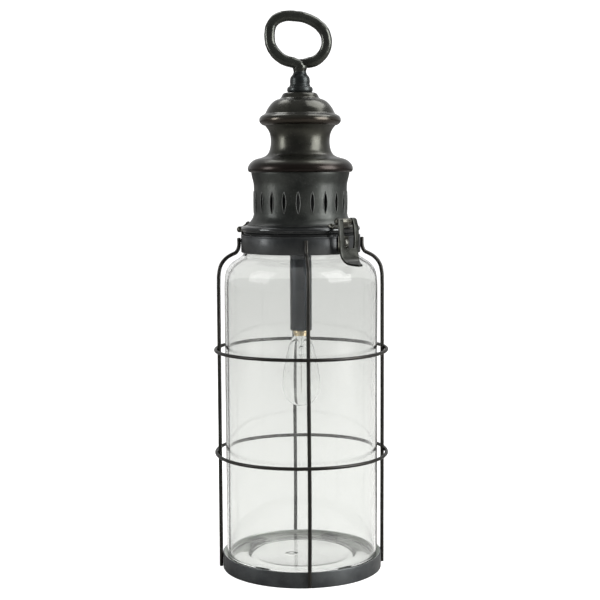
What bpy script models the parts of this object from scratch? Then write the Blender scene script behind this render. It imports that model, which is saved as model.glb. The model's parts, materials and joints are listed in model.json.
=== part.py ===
"""Tall hurricane lantern: a caged glass jar under a hinged, vented hood, with a battery lamp inside.

The lantern stands on Z = 0 with its axis on Z and one cage wire facing -Y. Outlines are pairs of
(radius, height) and all the numbers below are millimetres, turned into metres as meshes are made.
"""
import math

import bmesh
import bpy
from mathutils import Matrix

MM = 0.001
GAP = 0.3
ROUND_STEPS = 36
SMALL_STEPS = 12
HOOD_STEPS = 24
LAMP_STEPS = 16

# Cage
WIRE_RADIUS = 1.6
WIRE_REACH = 75.4
CAGE_RING_REACH = WIRE_REACH + 2 * WIRE_RADIUS + 0.15
CAGE_RING_HEIGHTS = {"lower": 108.3, "upper": 203.9}
WIRE_SIDES = {"front": 0, "right": 90, "back": 180, "left": 270}
BAND_RADIUS = WIRE_REACH - WIRE_RADIUS - 0.2
BAND_WALL = 1.5
BAND_HEIGHT = 14.4
TAB_AZIMUTHS = (32, 151, 215, 321)
TAB_WIDTH = 15
COLLAR_RADIUS = 54.6
COLLAR_WALL = 1.2
COLLAR_BOTTOM = 293.3
COLLAR_TOP = 309.3

# Glass jar
JAR_RADIUS = 70
JAR_WALL = 3
JAR_BOTTOM = 8.9
JAR_FLOOR = 13.2
JAR_SHOULDER = 262
JAR_NECK_RADIUS = 51.4
JAR_TOP = 305

# Lamp
PLATE_BOTTOM = 306.9
PLATE_TOP = 308.1
LUG_AZIMUTHS = (75, 195, 315)
SCREW_REACH = 46
LUG_SIZE = (9, 10, 1)
LUG_REACH = 47.8
TUBE_RADIUS = 10
TUBE_WALL = 0.8
TUBE_BOTTOM = 221.2
HOLDER_SIZE = (56, 49)
HOLDER_BOTTOM = PLATE_TOP + GAP
HOLDER_FLOOR = 313.2
HOLDER_TOP = 325
CELL_RADIUS = 7.25
CELL_LENGTH = 50.5
CELL_PITCH = 15
SWITCH_PLACE = -32.5
SWITCH_SIZE = (15, 9, 7)
SWITCH_TRAVEL = 4

# Hood
SHEET = 1.0
VENT_COUNT = 21
VENT_OFFSET = -7.9
VENT_MIDDLE = 339
VENT_LENGTH = 18
VENT_WIDTH = 3
BAFFLE_RADIUS = 39.6
BAFFLE_SHEET = 0.8
STUD_RADIUS = 3.2
RING_CENTRE = (-1.5, 485.3)
RING_HALF_AXES = (26.4, 21.4)
RING_ROD = 4.3
RING_TILT = -17
RING_TURN = -5

# Hinge and hasp
PIN_RADIUS = 1.5
LEAF = 1.2
KNUCKLE = PIN_RADIUS + 0.15 + LEAF / 2
HINGE_AZIMUTH = 241
HINGE_AXIS = (58.0, 313.4)
HASP_AZIMUTH = 38
HASP_AXIS = (58.2, 322.6)
RIM_SLOPE = 33.3
RIVET_RADIUS = 1.0

BRONZE = ((0.045, 0.040, 0.035), 0.42, 0.9)
STEEL = ((0.060, 0.062, 0.062), 0.45, 0.9)
ZINC = ((0.45, 0.45, 0.46), 0.35, 1.0)
BRASS = ((0.62, 0.50, 0.28), 0.3, 1.0)
COPPER = ((0.55, 0.27, 0.16), 0.4, 1.0)
GLASS = ((0.93, 0.95, 0.94), 0.03, 0.0)
BLACK_PLASTIC = ((0.02, 0.02, 0.02), 0.5, 0.0)
CELL_WRAP = ((0.16, 0.22, 0.20), 0.35, 0.3)
RED_PLASTIC = ((0.45, 0.03, 0.02), 0.45, 0.0)


def clear_scene():
    for old in list(bpy.data.objects):
        bpy.data.objects.remove(old, do_unlink=True)


def make_collection(name):
    collection = bpy.data.collections.new(name)
    bpy.context.scene.collection.children.link(collection)
    return collection


def finish(obj, look):
    """Give an object its own material from a (colour, roughness, metallic) look."""
    colour, roughness, metallic = look
    material = bpy.data.materials.new(obj.name)
    material.use_nodes = True
    shader = material.node_tree.nodes["Principled BSDF"]
    shader.inputs["Base Color"].default_value = (*colour, 1)
    shader.inputs["Roughness"].default_value = roughness
    shader.inputs["Metallic"].default_value = metallic
    if look is GLASS:
        shader.inputs["Transmission Weight"].default_value = 1
    obj.data.materials.clear()
    obj.data.materials.append(material)


def add(name, data, look=None):
    """Link an object to the lantern, or to the cutters when it has no look."""
    obj = bpy.data.objects.new(name, data)
    if look is None:
        CUTTERS.objects.link(obj)
        obj.hide_render = True
        obj.display_type = "WIRE"
    else:
        LANTERN.objects.link(obj)
        finish(obj, look)
    return obj


def mesh_of(name, bm):
    mesh = bpy.data.meshes.new(name)
    bm.to_mesh(mesh)
    bm.free()
    return mesh


def solidify(obj, thickness, offset):
    shell = obj.modifiers.new("Thickness", "SOLIDIFY")
    shell.thickness = thickness * MM
    shell.offset = offset
    shell.use_even_offset = True


def turned(name, outline, look=None, steps=ROUND_STEPS, thickness=None):
    """Spin an outline that runs down its outer side; a thickness turns an open one into a shell."""
    mesh = bpy.data.meshes.new(name)
    corners = [(radius * MM, 0, height * MM) for radius, height in outline]
    edges = [(i, i + 1) for i in range(len(corners) - 1)]
    if thickness is None and outline[0][0] > 0:
        edges.append((len(corners) - 1, 0))
    mesh.from_pydata(corners, edges, [])
    obj = add(name, mesh, look)
    spin = obj.modifiers.new("Spin", "SCREW")
    spin.steps = steps
    spin.render_steps = steps
    spin.use_merge_vertices = True
    spin.merge_threshold = 0.00001
    if thickness is not None:
        solidify(obj, thickness, -1)
    return obj


def rod(name, length, radius, look=None, sides=SMALL_STEPS):
    """A cylinder along local Z, centred on its origin."""
    bm = bmesh.new()
    bmesh.ops.create_cone(bm, cap_ends=True, segments=sides, radius1=radius * MM,
                          radius2=radius * MM, depth=length * MM)
    mesh = mesh_of(name, bm)
    mesh.shade_smooth()
    mesh.set_sharp_from_angle(angle=math.radians(35))
    return add(name, mesh, look)


def block(name, size, centre, look=None):
    bm = bmesh.new()
    bmesh.ops.create_cube(bm, size=1)
    bmesh.ops.scale(bm, vec=[side * MM for side in size], verts=bm.verts)
    obj = add(name, mesh_of(name, bm), look)
    obj.location = [place * MM for place in centre]
    return obj


def wire(name, points, radius, look):
    """A round wire through (x, y, z) points."""
    curve = bpy.data.curves.new(name, "CURVE")
    curve.dimensions = "3D"
    curve.bevel_depth = radius * MM
    curve.bevel_resolution = 2
    curve.use_fill_caps = True
    spline = curve.splines.new("POLY")
    spline.points.add(len(points) - 1)
    for knot, point in zip(spline.points, points):
        knot.co = (*[value * MM for value in point], 1)
    return add(name, curve, look)


def strap(name, path, columns, filled, thickness, look, taper=None):
    """Bent sheet: a path of (reach, height), cut across at columns, with some gaps filled.

    filled holds, for each stretch of the path, the column gaps that have metal in them.
    """
    widths = taper or [1] * len(path)
    bm = bmesh.new()
    grid = {}

    def corner(row, column):
        if (row, column) not in grid:
            reach, height = path[row]
            across = columns[column] * widths[row]
            grid[row, column] = bm.verts.new((across * MM, -reach * MM, height * MM))
        return grid[row, column]

    for row, gaps in enumerate(filled):
        for gap in gaps:
            bm.faces.new((corner(row, gap), corner(row, gap + 1),
                          corner(row + 1, gap + 1), corner(row + 1, gap)))
    bmesh.ops.recalc_face_normals(bm, faces=bm.faces)
    obj = add(name, mesh_of(name, bm), look)
    solidify(obj, thickness, 0)
    return obj


def arc(centre, radius, start, end, count):
    """Points on an arc in the (reach, height) plane, from one angle in degrees to another."""
    angles = [math.radians(start + (end - start) * i / count) for i in range(count + 1)]
    return [(centre[0] + radius * math.cos(a), centre[1] + radius * math.sin(a)) for a in angles]


def stand(obj, azimuth, reach=0, height=0, aside=0, lean=0):
    """Place an object round the axis: local Z leans outward and local X runs sideways."""
    turn = Matrix.Rotation(math.radians(azimuth), 4, "Z")
    shift = Matrix.Translation((aside * MM, -reach * MM, height * MM))
    obj.matrix_world = turn @ shift @ Matrix.Rotation(math.radians(lean), 4, "X")
    return obj


def combine(target, other, operation="DIFFERENCE"):
    step = target.modifiers.new(other.name, "BOOLEAN")
    step.operation = operation
    step.object = other


def bore(targets, name, radius, length, **place):
    """Drill one straight hole through several pieces."""
    cutter = stand(rod(name, length, radius), **place)
    for target in targets:
        combine(target, cutter)


def rivet(name, grip, look, **place):
    """A domed rivet whose head sits on the surface at its origin and whose shank runs inward."""
    head, tail = 2.1, 1.7
    outline = [(0, 1.3), (1.3, 1.0), (head, GAP), (RIVET_RADIUS, GAP), (RIVET_RADIUS, -grip),
               (tail, -grip), (tail, -grip - 0.5), (0, -grip - 0.5)]
    return stand(turned(name, outline, look, steps=12), **place)


def on_axis(name, azimuth, axis, pieces):
    """Hang pieces on an empty that stands on their joint's axis."""
    empty = bpy.data.objects.new(name, None)
    empty.empty_display_size = 10 * MM
    LANTERN.objects.link(empty)
    stand(empty, azimuth, axis[0], axis[1])
    return hang(empty, pieces)


def hang(empty, pieces):
    rest = empty.matrix_basis.copy()
    if empty.parent:
        rest = empty.parent.matrix_basis @ empty.matrix_parent_inverse @ rest
    for piece in pieces:
        piece.parent = empty
        piece.matrix_parent_inverse = rest.inverted()
    return empty


def round_point(azimuth, reach, height):
    angle = math.radians(azimuth)
    return (reach * math.sin(angle), -reach * math.cos(angle), height)


def make_base():
    inner = BAND_RADIUS - BAND_WALL
    turned("base_band", [(BAND_RADIUS - 0.4, BAND_HEIGHT), (BAND_RADIUS, BAND_HEIGHT - 0.4),
                         (BAND_RADIUS, 0), (inner, 0), (inner, BAND_HEIGHT - 0.4),
                         (inner + 0.4, BAND_HEIGHT)], STEEL)
    leg = inner - 1.5
    under = JAR_BOTTOM - GAP - LEAF / 2
    path = [(leg, 2.4), (leg, under - 1.4), (leg - 1.4, under), (62.5, under), (60, under)]
    for number, azimuth in enumerate(TAB_AZIMUTHS, 1):
        tab = strap(f"jar_support_tab_{number}", path, [-TAB_WIDTH / 2, TAB_WIDTH / 2],
                    [(0,)] * 4, LEAF, STEEL, taper=[1, 1, 1, 1, 0.6])
        stand(tab, azimuth)


def make_cage():
    shoulder = [(75.2, 273), (74.2, 279.6), (72, 284.4), (68.9, 287.8), (64.6, 290.9), (59.6, 293)]
    top = COLLAR_RADIUS + WIRE_RADIUS + 0.25
    path = [(WIRE_REACH, 1), (WIRE_REACH, 136), (WIRE_REACH, 266), *shoulder,
            (57.2, 296.4), (top, 301), (top, 306.7)]
    for side, azimuth in WIRE_SIDES.items():
        points = [round_point(azimuth, reach, height) for reach, height in path]
        wire(f"cage_wire_{side}", points, WIRE_RADIUS, BRONZE)
    for level, height in CAGE_RING_HEIGHTS.items():
        bpy.ops.mesh.primitive_torus_add(major_segments=ROUND_STEPS, minor_segments=8,
                                         major_radius=CAGE_RING_REACH * MM,
                                         minor_radius=WIRE_RADIUS * MM)
        ring = bpy.context.object
        mesh = ring.data
        bpy.data.objects.remove(ring)
        mesh.shade_smooth()
        add(f"cage_ring_{level}", mesh, BRONZE).location.z = height * MM


def make_collar():
    inner = COLLAR_RADIUS - COLLAR_WALL
    return turned("top_collar", [(COLLAR_RADIUS - 0.4, COLLAR_TOP), (COLLAR_RADIUS, COLLAR_TOP - 0.6),
                                 (COLLAR_RADIUS, COLLAR_BOTTOM), (inner, COLLAR_BOTTOM),
                                 (inner, COLLAR_TOP - 0.3), (inner + 0.3, COLLAR_TOP)], STEEL)


def make_jar():
    shoulder = [(52.6, 290.9), (57.5, 287.2), (63.2, 283.4), (67.2, 278.4), (69.2, 272)]
    inside = [(reach - JAR_WALL * 0.75, height - JAR_WALL * 0.75) for reach, height in shoulder]
    wall = JAR_RADIUS - JAR_WALL
    neck = JAR_NECK_RADIUS - JAR_WALL
    floor = arc((59, JAR_FLOOR + 8), 8, -90, 0, 4)
    heel = arc((61, JAR_BOTTOM + 9), 9, 0, -90, 4)
    turned("glass_jar", [(0, JAR_FLOOR + 0.8), (46, JAR_FLOOR + 0.3), *floor, (wall, JAR_SHOULDER),
                         *reversed(inside), (neck, 292), (neck, JAR_TOP),
                         (JAR_NECK_RADIUS, JAR_TOP), (JAR_NECK_RADIUS, 293.5), *shoulder,
                         (JAR_RADIUS, JAR_SHOULDER), *heel, (46, JAR_BOTTOM + 0.9),
                         (0, JAR_BOTTOM + 1.4)], GLASS)


def make_lamp_plate():
    plate = turned("lamp_plate", [(52.6, PLATE_TOP), (52.6, PLATE_BOTTOM), (8.3, PLATE_BOTTOM),
                                  (8.3, PLATE_TOP)], STEEL)
    lug_top = PLATE_BOTTOM - GAP
    for number, azimuth in enumerate(LUG_AZIMUTHS, 1):
        lug = block(f"plate_lug_{number}", LUG_SIZE, (0, 0, 0), STEEL)
        stand(lug, azimuth, LUG_REACH, lug_top - LUG_SIZE[2] / 2)
        bore([plate, lug], f"plate_hole_{number}", 1.5, 8, azimuth=azimuth, reach=SCREW_REACH,
             height=PLATE_BOTTOM)
        screw = turned(f"plate_screw_{number}", [(0, 1.9), (1.6, 1.7), (2.5, GAP), (1.2, GAP),
                                                 (1.2, -2.8), (0, -2.8)], ZINC, steps=12)
        stand(screw, azimuth, SCREW_REACH, PLATE_TOP)


def make_lamp():
    inner = TUBE_RADIUS - TUBE_WALL
    ledge = PLATE_BOTTOM - GAP
    turned("lamp_tube", [(8, 312.4), (8, ledge), (TUBE_RADIUS, ledge), (TUBE_RADIUS, TUBE_BOTTOM),
                         (inner, TUBE_BOTTOM), (inner, ledge - 1.2), (7, ledge - 1.2), (7, 312.4)],
           STEEL, steps=LAMP_STEPS)
    nut = rod("tube_nut", 3.2, 13, ZINC, sides=6)
    nut.location.z = (PLATE_TOP + GAP + 1.6) * MM
    bore([nut], "tube_nut_hole", 8.3, 8, azimuth=0, height=310)
    turned("lamp_socket", [(0, 242), (6.5, 242), (8.9, 240), (8.9, 220.9), (9.8, 220.9),
                           (9.8, 218.2), (7.7, 218.2), (7.7, 236), (5.6, 238.6), (0, 238.6)],
           BLACK_PLASTIC, steps=LAMP_STEPS)
    turned("bulb_cap", [(0, 238), (2.4, 237.8), (2.6, 236.4), (5, 234.6), (7.2, 232), (7.2, 216.3),
                        (6.8, 216.3), (6.8, 231.4), (4.6, 233.6), (0, 234.4)], BRASS, steps=LAMP_STEPS)
    turned("bulb_glass", [(6.4, 219.5), (6.5, 216), (8, 214.6), (9.6, 212), (10.8, 208), (12.9, 201),
                          (15.2, 191), (17.1, 180), (17.6, 172), (16.9, 165), (14.4, 158.6),
                          (9.4, 153.4), (0, 151)], GLASS, steps=LAMP_STEPS, thickness=0.7)
    turned("bulb_stem", [(0, 219.5), (5.2, 219), (4.6, 215), (2.6, 211), (2.1, 200), (0, 196.6)],
           GLASS, steps=12)
    half = [(0.8, 195.8), (5.5, 190), (8.4, 179), (5.4, 168), (0, 164.8)]
    for number, turn in enumerate((0, 90), 1):
        drop = 1.6 * (number - 1)
        side = [(reach, height - drop) for reach, height in half]
        loop = side + [(-reach, height) for reach, height in reversed(side[:-1])]
        points = [round_point(turn, reach, height) for reach, height in loop]
        wire(f"bulb_filament_{number}", points, 0.3, COPPER)


def make_battery_holder():
    length, width = HOLDER_SIZE
    height = HOLDER_TOP - HOLDER_BOTTOM
    holder = block("battery_holder", (length, width, height),
                   (0, 0, HOLDER_BOTTOM + height / 2), BLACK_PLASTIC)
    pocket = (length - 3.4, width - 3.4)
    slab = 1.2
    combine(holder, block("cell_pocket", (*pocket, 20), (0, 0, HOLDER_FLOOR + slab + 10)))
    combine(holder, block("holder_underside", (*pocket, 20), (0, 0, HOLDER_FLOOR - 10)))
    centre = HOLDER_FLOOR + slab + GAP + CELL_RADIUS
    for number, row in enumerate((-1, 0, 1), 1):
        cell = turned(f"battery_cell_{number}", [
            (0, CELL_LENGTH / 2), (2.7, CELL_LENGTH / 2), (2.7, CELL_LENGTH / 2 - 1),
            (CELL_RADIUS, CELL_LENGTH / 2 - 1), (CELL_RADIUS, -CELL_LENGTH / 2),
            (0, -CELL_LENGTH / 2)], CELL_WRAP, steps=16)
        cell.location = (0, row * CELL_PITCH * MM, centre * MM)
        cell.rotation_euler.y = math.radians(90 if row else -90)
    route = [(5.2, HOLDER_FLOOR - 0.6), (4.7, 309), (3.8, 303), (3.2, 296), (3.2, 242.4)]
    for name, side, look in (("positive", 1, RED_PLASTIC), ("negative", -1, BLACK_PLASTIC)):
        wire(f"lead_wire_{name}", [(side * x, 0, z) for x, z in route], 0.7, look)


def make_switch():
    length, width, height = SWITCH_SIZE
    top = HOLDER_BOTTOM + height
    housing = block("switch_housing", SWITCH_SIZE, (0, SWITCH_PLACE, top - height / 2), BLACK_PLASTIC)
    slot = SWITCH_TRAVEL + 3.6 + 2 * GAP
    combine(housing, block("switch_slot", (slot, 3.8, 6), (0, SWITCH_PLACE, top)))
    slider = block("switch_slider", (3.6, 3.2, 4.8), (-SWITCH_TRAVEL / 2, SWITCH_PLACE, top - 0.3),
                   RED_PLASTIC)
    return slider


def make_vents():
    """Narrow slits round the drum, cut by one lens-shaped prism for each."""
    bm = bmesh.new()
    half = [(VENT_WIDTH / 2 * math.sin(math.pi * i / 5), VENT_LENGTH * (i / 5 - 0.5))
            for i in range(6)]
    lens = half + [(-across, up) for across, up in reversed(half[1:-1])]
    for number in range(VENT_COUNT):
        turn = Matrix.Rotation(math.radians(VENT_OFFSET + 360 / VENT_COUNT * number), 4, "Z")
        corners = [bm.verts.new(turn @ Matrix.Translation((x * MM, -46 * MM, (VENT_MIDDLE + z) * MM))
                                .to_translation()) for x, z in lens]
        face = bm.faces.new(corners)
        wall = bmesh.ops.extrude_face_region(bm, geom=[face])["geom"]
        inward = turn.to_3x3() @ Matrix.Translation((0, 8 * MM, 0)).to_translation()
        bmesh.ops.translate(bm, vec=inward,
                            verts=[part for part in wall if isinstance(part, bmesh.types.BMVert)])
    bmesh.ops.recalc_face_normals(bm, faces=bm.faces)
    return add("vent_slits", mesh_of("vent_slits", bm))


def make_hood():
    """The hood is four spun shells, soldered one on another, with a sleeve behind the slits."""
    rim = turned("lid_rim", [(48.7, 318.6), (50.4, 317.3), (52.4, 316.6), (54.0, 315), (54.2, 313),
                             (53.6, 311.7), (51.8, 311.5), (51.6, 309.0)], BRONZE,
                 steps=HOOD_STEPS, thickness=SHEET)
    drum = turned("hood_drum", [(46.2, 366.5), (44.8, 364.7), (43.3, 361), (42.6, 356.6), (42.5, 331),
                                (43.1, 326.2), (44.5, 322.8), (48.3, 319.1)], STEEL,
                  steps=HOOD_STEPS, thickness=SHEET)
    combine(drum, make_vents())
    waist = turned("hood_waist", [(31.8, 408.4), (30.4, 406.6), (28.5, 403.4), (27.2, 398.8),
                                  (27, 393.5), (27.9, 388), (30.4, 382.4), (34.7, 379.2),
                                  (41.5, 377.6), (44.5, 375.4), (47, 372.6), (47.5, 370.4),
                                  (47.2, 368.3), (46.6, 367)], BRONZE, steps=HOOD_STEPS,
                   thickness=SHEET)
    dome = turned("hood_dome", [(3.6, 437.4), (15, 437.4), (17.1, 433.5), (19.6, 431.6),
                                (24.4, 429.9), (29, 425.5), (31.2, 421.2), (34.8, 418),
                                (36.6, 415.6), (37.3, 413.8), (37, 411.8), (35.6, 410.2),
                                (33.2, 409.2)], BRONZE, steps=HOOD_STEPS, thickness=SHEET)
    baffle = turned("vent_baffle", [(41.1, 355.4), (40.3, 354.6), (BAFFLE_RADIUS, 352.6),
                                    (BAFFLE_RADIUS, 326.5)], STEEL, steps=HOOD_STEPS,
                    thickness=BAFFLE_SHEET)
    return rim, [rim, drum, waist, dome, baffle]


def make_ring_handle():
    """A forged oval ring on a threaded stud, with its ferrule, washer and nut."""
    tilt = math.radians(RING_TILT)
    points = []
    for step in range(32):
        angle = 2 * math.pi * step / 32
        along, across = RING_HALF_AXES[0] * math.cos(angle), RING_HALF_AXES[1] * math.sin(angle)
        points.append((RING_CENTRE[0] + along * math.cos(tilt) - across * math.sin(tilt), 0,
                       RING_CENTRE[1] + along * math.sin(tilt) + across * math.cos(tilt)))
    loop = wire("ring_loop", points, RING_ROD, BRONZE)
    loop.data.splines[0].use_cyclic_u = True
    loop.data.bevel_resolution = 3
    bpy.context.view_layer.update()
    evaluated = loop.evaluated_get(bpy.context.evaluated_depsgraph_get())
    mesh = bpy.data.meshes.new_from_object(evaluated)
    bpy.data.objects.remove(loop)
    bm = bmesh.new()
    bm.from_mesh(mesh)
    bmesh.ops.remove_doubles(bm, verts=bm.verts, dist=0.00001)
    ring = add("ring_handle", mesh_of("ring_handle", bm), BRONZE)
    stud = turned("ring_stud", [(0, 465), (2.8, 464.6), (4.6, 461.4), (4.9, 456.6),
                                (STUD_RADIUS, 456.6), (STUD_RADIUS, 427), (0, 427)], steps=16)
    for piece in (ring, stud):
        stand(piece, RING_TURN)
    combine(ring, stud, "UNION")
    hole = STUD_RADIUS + GAP
    ferrule = turned("handle_ferrule", [(5.6, 456.2), (8, 453), (9.2, 449.6), (8.8, 446), (9, 443.6),
                                        (11.4, 441.6), (11.6, 439.4), (11, 437.8), (hole, 437.8),
                                        (hole, 456.2)], BRONZE, steps=LAMP_STEPS)
    washer = turned("handle_washer", [(9, 436), (9, 434.8), (hole, 434.8), (hole, 436)], ZINC,
                    steps=16)
    nut = rod("handle_nut", 4.6, 5.9, ZINC, sides=6)
    nut.location.z = 432.1 * MM
    bore([nut], "handle_nut_hole", hole, 10, azimuth=0, height=432.1)
    return [ring, ferrule, washer, nut]


def make_hinge(collar, rim):
    """A three-knuckle hinge at the hood's rim: its lower leaf goes down the collar."""
    width = [-9, -3.2, 3.2, 9]
    reach, height = HINGE_AXIS
    back = reach - KNUCKLE
    lower_path = [(back, 295), (back, 307), *arc(HINGE_AXIS, KNUCKLE, 180, -80, 10)]
    lower = strap("hinge_leaf_lower", lower_path, width, [(0, 1, 2)] + [(0, 2)] * 11, LEAF, BRONZE)
    stand(lower, HINGE_AZIMUTH)
    upper_path = [(48.9, 320), (52.4, 317.7), (54.8, 316.3), *arc(HINGE_AXIS, KNUCKLE, 100, -160, 10)]
    upper = strap("hinge_leaf_upper", upper_path, [-9, -2.9, 2.9, 9], [(0, 1, 2)] + [(1,)] * 12,
                  LEAF, BRONZE)
    stand(upper, HINGE_AZIMUTH)
    pin = stand(rod("hinge_pin", 19.2, PIN_RADIUS, BRONZE, sides=16), HINGE_AZIMUTH, reach, height)
    pin.matrix_world = pin.matrix_world @ Matrix.Rotation(math.radians(90), 4, "Y")
    moving = [upper]
    for number, aside in enumerate((-6, 6), 1):
        low = {"azimuth": HINGE_AZIMUTH, "reach": back + LEAF / 2, "height": 300.5, "aside": aside,
               "lean": 90}
        bore([lower, collar], f"hinge_hole_lower_{number}", RIVET_RADIUS + GAP, 8, **low)
        rivet(f"hinge_rivet_lower_{number}", 3.9, BRONZE, **low)
        high = {"azimuth": HINGE_AZIMUTH, "reach": 51.0, "height": 319.35, "aside": aside,
                "lean": RIM_SLOPE}
        bore([upper, rim], f"hinge_hole_upper_{number}", RIVET_RADIUS + GAP, 12, **high)
        moving.append(rivet(f"hinge_rivet_upper_{number}", 3.6, BRONZE, **high))
    return moving


def make_catch(collar):
    """The knob on the collar that the hasp's window drops over."""
    place = {"azimuth": HASP_AZIMUTH, "reach": COLLAR_RADIUS + GAP, "height": 303.6, "lean": 90}
    plate = stand(block("catch_plate", (13, 14, 1), (0, 0, 0), BRONZE),
                  HASP_AZIMUTH, COLLAR_RADIUS + GAP + 0.5, 302.6, lean=90)
    bore([plate, collar], "catch_hole", 2, 8, **place)
    knob = turned("catch_knob", [(0, 5.9), (1.6, 5.8), (3.2, 4.7), (3.5, 3.2), (2.2, 1.9),
                                 (2.6, 1.3), (1.7, 1.3), (1.7, -1.9), (2.4, -1.9), (2.4, -2.4),
                                 (0, -2.4)], BRONZE, steps=16)
    stand(knob, **place)


def make_hasp(rim):
    """A windowed hasp that hangs on the hood's rim from a curled bracket."""
    foot, tongue, knuckle = 13, 11.2, 5.4
    bracket_path = [(48.9, 320), (52.4, 317.7), (54.6, 317.1), (55.6, 318.6),
                    *arc(HASP_AXIS, KNUCKLE, 180, -80, 10)]
    bracket = strap("hasp_bracket", bracket_path, [-foot, -knuckle, knuckle, foot],
                    [(0, 1, 2)] + [(1,)] * 13, LEAF, BRONZE)
    stand(bracket, HASP_AZIMUTH)
    curl = arc(HASP_AXIS, KNUCKLE, -100, -360, 10)
    hang_path = [(61.9, 316), (62.6, 306), (62.3, 299), (62.6, 294), (64.4, 289.4), (67.6, 286.2),
                 (72, 284.7), (77, 284.3)]
    rows = len(curl) + len(hang_path)
    window_end = len(curl) + 2
    filled = [(0, 2)] * window_end + [(0, 1, 2)] * (rows - 1 - window_end)
    taper = [1] * (window_end + 1) + [0.97, 0.86, 0.7, 0.5, 0.22]
    lever = strap("hasp_lever", curl + hang_path, [-tongue, -6, 6, tongue], filled, LEAF, BRONZE,
                  taper=taper)
    stand(lever, HASP_AZIMUTH)
    pin = stand(rod("hasp_pin", 24, PIN_RADIUS, BRONZE, sides=16), HASP_AZIMUTH, *HASP_AXIS)
    pin.matrix_world = pin.matrix_world @ Matrix.Rotation(math.radians(90), 4, "Y")
    fixed = [bracket, pin]
    for number, aside in enumerate((-9.4, 9.4), 1):
        place = {"azimuth": HASP_AZIMUTH, "reach": 51.0, "height": 319.35, "aside": aside,
                 "lean": RIM_SLOPE}
        bore([bracket, rim], f"hasp_hole_{number}", RIVET_RADIUS + GAP, 12, **place)
        fixed.append(rivet(f"hasp_rivet_{number}", 4.2, BRONZE, **place))
    return fixed, lever


def build():
    clear_scene()
    make_base()
    make_cage()
    collar = make_collar()
    make_jar()
    make_lamp_plate()
    make_lamp()
    make_battery_holder()
    slider = make_switch()
    rim, shells = make_hood()
    handle = make_ring_handle()
    hinge = make_hinge(collar, rim)
    make_catch(collar)
    hasp_fixed, lever = make_hasp(rim)
    hood_axis = on_axis("hood_axis", HINGE_AZIMUTH, HINGE_AXIS, shells + handle + hinge + hasp_fixed)
    hasp_axis = on_axis("hasp_axis", HASP_AZIMUTH, HASP_AXIS, [lever])
    hang(hood_axis, [hasp_axis])
    on_axis("switch_axis", 0, (-SWITCH_PLACE, HOLDER_BOTTOM), [slider])


LANTERN = make_collection("hurricane_lantern")
CUTTERS = make_collection("cutters")
build()
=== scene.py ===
"""Looks for the hurricane lantern: fine spun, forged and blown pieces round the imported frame."""
import json
import math

import bmesh
import bpy
from mathutils import Matrix, Vector, noise


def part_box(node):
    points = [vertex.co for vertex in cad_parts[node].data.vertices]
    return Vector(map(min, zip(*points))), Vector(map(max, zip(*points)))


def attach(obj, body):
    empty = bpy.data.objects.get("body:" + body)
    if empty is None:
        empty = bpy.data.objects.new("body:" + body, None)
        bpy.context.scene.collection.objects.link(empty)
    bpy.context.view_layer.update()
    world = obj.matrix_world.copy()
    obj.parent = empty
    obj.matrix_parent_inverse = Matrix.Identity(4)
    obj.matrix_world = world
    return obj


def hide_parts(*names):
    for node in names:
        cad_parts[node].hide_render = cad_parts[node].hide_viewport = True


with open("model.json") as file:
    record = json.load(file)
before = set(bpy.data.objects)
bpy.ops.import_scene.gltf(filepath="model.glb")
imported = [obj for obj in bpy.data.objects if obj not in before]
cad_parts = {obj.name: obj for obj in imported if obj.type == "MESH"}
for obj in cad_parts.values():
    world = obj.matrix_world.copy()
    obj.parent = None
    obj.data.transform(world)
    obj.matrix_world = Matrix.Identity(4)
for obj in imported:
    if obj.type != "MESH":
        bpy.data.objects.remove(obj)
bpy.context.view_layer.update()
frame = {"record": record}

MM = 0.001
BODY_OF = {node: body for body, nodes in frame["record"]["behaviour"]["bodies"].items()
           for node in nodes}

# Angles of the fittings round the axis, from the front (-Y) towards the right, in degrees
HINGE_AZIMUTH = 241
HASP_AZIMUTH = 38
CAMERA_AZIMUTH = -5
RING_TURN = -5
TAB_AZIMUTHS = (32, 151, 215, 321)
SIDES = (("front", 0), ("right", 90), ("back", 180), ("left", 270))

# Slits in the drum
VENTS = 21
VENT_OFFSET = -7.9
VENT_MIDDLE = 339
VENT_SIZE = (3.5, 19.4)

# Fine steps round a turn, by the size of the piece
DRUM_TURN = 240
BIG_TURN = 192
HOOD_TURN = 160
MIDDLE_TURN = 96
SMALL_TURN = 64

# Sizes in mm; AXIS is the reach below which a point counts as on the axis
SHEET = 1.0
PIN_RADIUS = 1.5
LEAF = 1.2
KNUCKLE = PIN_RADIUS + 0.15 + LEAF / 2
RIVET_SHANK = 1.0
GAP = 0.3
WIRE_RADIUS = 1.72
RING_WIRE = 1.6
AXIS = 1e-3

# Pins as (reach, height), and how a rivet stands on the rim's slope
HINGE_PIN = (58.0, 313.4)
HASP_PIN = (58.2, 322.6)
RIM_RIVET = {"reach": 51.0, "height": 319.35, "lean": 33.3}


# -------- placing

def extent(node):
    """(reach from the axis, lowest, highest) of a CAD node that goes round the axis, in mm."""
    low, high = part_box(node)
    return max(high.x, -low.x) / MM, low.z / MM, high.z / MM


def show(obj, look, node):
    """A fine piece stands for its CAD node: it is painted with its look, moves with its body, and
    the CAD node is hidden.
    """
    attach(paint(obj, look), BODY_OF[node])
    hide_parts(node)
    return obj


def new_object(name, data):
    obj = bpy.data.objects.new(name, data)
    bpy.context.scene.collection.objects.link(obj)
    return obj


def object_from(name, bm):
    mesh = bpy.data.meshes.new(name)
    bm.normal_update()
    bm.to_mesh(mesh)
    bm.free()
    return new_object(name, mesh)


def turn(degrees, axis):
    return Matrix.Rotation(math.radians(degrees), 4, axis)


def stand(obj, azimuth, reach=0, height=0, aside=0, lean=0, spin=0):
    """Place an object round the axis: local Z leans outward and local X runs sideways."""
    shift = Matrix.Translation((aside * MM, -reach * MM, height * MM))
    obj.matrix_world = turn(azimuth, "Z") @ shift @ (turn(lean, "X") @ turn(spin, "Y"))
    return obj


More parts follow.
